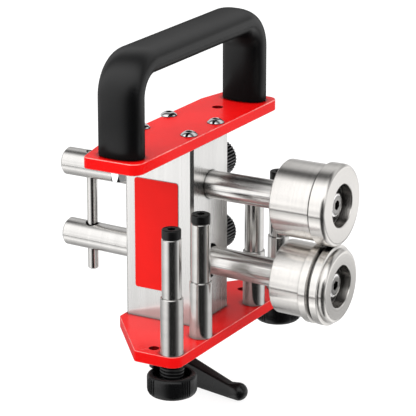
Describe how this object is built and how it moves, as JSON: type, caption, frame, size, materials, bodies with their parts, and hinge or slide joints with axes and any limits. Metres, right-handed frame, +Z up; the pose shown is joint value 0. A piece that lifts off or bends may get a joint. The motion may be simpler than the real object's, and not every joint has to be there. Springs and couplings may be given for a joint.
{
  "type": "sheet metal edge bender",
  "caption": "Hand-pulled sheet metal edge bender: a block between red plates with a bow handle, profiled rollers on sliding shafts, guide pins and a clamp lever.",
  "frame": {"origin": "middle of the handle's grip, on the axis of its straight bar, halfway between the two legs", "axes": "+X along the shafts towards the rollers, +Y along the plates and the grip, +Z up from the base plate to the grip"},
  "size_m": [0.2222, 0.199, 0.2683],
  "materials": {
    "red_paint": "gloss",
    "block": "fine brushed",
    "label": "satin print",
    "grip_rubber": "satin black",
    "zinc": "bright zinc",
    "dark_steel": "blackened",
    "bronze": "turned",
    "ground_steel": "ground and polished",
    "turned_steel": "fine turned",
    "bearing_steel": "polished",
    "black_plastic": "satin black"
  },
  "bodies": {
    "tool_frame": {"block": "block", "top_plate": "red_paint", "base_plate": "red_paint", "label_plate": "label", "handle_bow": "grip_rubber", "handle_studs": "zinc", "handle_nuts": "zinc", "top_screws": "zinc", "base_screws": "dark_steel", "upper_bush": "bronze", "pivot_pins": "ground_steel", "threaded_necks": "black_plastic", "stop_screws": "dark_steel", "guide_sleeves": "ground_steel", "guide_screws": "dark_steel", "thrust_washer": "zinc"},
    "upper_carriage": {"upper_shaft": "ground_steel", "coupling_rod": "ground_steel", "upper_end_screw": "zinc", "upper_bearing_spacer": "dark_steel"},
    "upper_roller": {"upper_roller": "turned_steel", "upper_roller_bearings": "bearing_steel"},
    "swivel": {"swivel_block": "bronze"},
    "lower_carriage": {"lower_shaft": "ground_steel", "lower_end_screw": "zinc", "lower_bearing_spacer": "dark_steel"},
    "lower_roller": {"lower_roller": "turned_steel", "lower_roller_bearings": "bearing_steel"},
    "lever": {"clamp_lever": "black_plastic", "lever_insert": "zinc", "lever_clip": "dark_steel"},
    "plunger": {"lift_plunger": "ground_steel"},
    "upper_lock": {"upper_lock_knob": "black_plastic", "upper_pressure_pad": "bronze"},
    "lower_lock": {"lower_lock_knob": "black_plastic", "lower_pressure_pad": "bronze"},
    "near_nut": {"near_hand_nut": "black_plastic"},
    "far_nut": {"far_hand_nut": "black_plastic"},
    "near_outer_guide": {"near_outer_tube": "ground_steel"},
    "near_inner_guide": {"near_inner_tube": "ground_steel"},
    "far_inner_guide": {"far_inner_tube": "ground_steel"},
    "far_outer_guide": {"far_outer_tube": "ground_steel"}
  },
  "joints": [
    {"name": "roller_depth_slide", "type": "slide", "parent": "tool_frame", "child": "upper_carriage", "axis": [1, 0, 0], "range_m": [-0.028, 0.038]},
    {"name": "upper_roller_spin", "type": "hinge", "parent": "upper_carriage", "child": "upper_roller", "pos_m": [0.1012, 0, -0.1008], "axis": [1, 0, 0], "continuous": true},
    {"name": "nip_tilt", "type": "hinge", "parent": "tool_frame", "child": "swivel", "pos_m": [-0.0219, 0, -0.15567], "axis": [0, 1, 0], "range_deg": [0, 2.5]},
    {"name": "lower_depth_slide", "type": "slide", "parent": "swivel", "child": "lower_carriage", "axis": [0.9998, 0, -0.0218], "range_m": [-0.028, 0.038]},
    {"name": "lower_roller_spin", "type": "hinge", "parent": "lower_carriage", "child": "lower_roller", "pos_m": [0.10117, 0, -0.15836], "axis": [0.9998, 0, -0.0218], "continuous": true},
    {"name": "lever_turn", "type": "hinge", "parent": "tool_frame", "child": "lever", "pos_m": [-0.0044, 0, -0.2286], "axis": [0, 0, 1], "range_deg": [0, 180]},
    {"name": "plunger_lift", "type": "slide", "parent": "tool_frame", "child": "plunger", "axis": [0, 0, 1], "range_m": [-0.00075, 0]},
    {"name": "upper_lock_turn", "type": "hinge", "parent": "tool_frame", "child": "upper_lock", "pos_m": [-0.0074, 0.055, -0.1008], "axis": [0, 1, 0], "range_deg": [0, 270]},
    {"name": "lower_lock_turn", "type": "hinge", "parent": "tool_frame", "child": "lower_lock", "pos_m": [-0.0074, 0.055, -0.15599], "axis": [0, 1, 0], "range_deg": [0, 270]},
    {"name": "near_nut_turn", "type": "hinge", "parent": "tool_frame", "child": "near_nut", "pos_m": [0.0334, -0.077, -0.2186], "axis": [0, 0, 1], "range_deg": [-180, 180]},
    {"name": "far_nut_turn", "type": "hinge", "parent": "tool_frame", "child": "far_nut", "pos_m": [0.0334, 0.077, -0.2186], "axis": [0, 0, 1], "range_deg": [-180, 180]},
    {"name": "near_outer_guide_spin", "type": "hinge", "parent": "tool_frame", "child": "near_outer_guide", "pos_m": [0.0334, -0.077, -0.1586], "axis": [0, 0, 1], "continuous": true},
    {"name": "near_inner_guide_spin", "type": "hinge", "parent": "tool_frame", "child": "near_inner_guide", "pos_m": [0.034, -0.0384, -0.1586], "axis": [0, 0, 1], "continuous": true},
    {"name": "far_inner_guide_spin", "type": "hinge", "parent": "tool_frame", "child": "far_inner_guide", "pos_m": [0.034, 0.0384, -0.1586], "axis": [0, 0, 1], "continuous": true},
    {"name": "far_outer_guide_spin", "type": "hinge", "parent": "tool_frame", "child": "far_outer_guide", "pos_m": [0.0334, 0.077, -0.1586], "axis": [0, 0, 1], "continuous": true}
  ],
  "couplings": [
    {"joint": "lower_depth_slide", "follows": "roller_depth_slide", "ratio": 1},
    {"joint": "plunger_lift", "follows": "lever_turn", "m_per_rad": -0.00023873},
    {"joint": "nip_tilt", "follows": "lever_turn", "ratio": 0.013645}
  ]
}
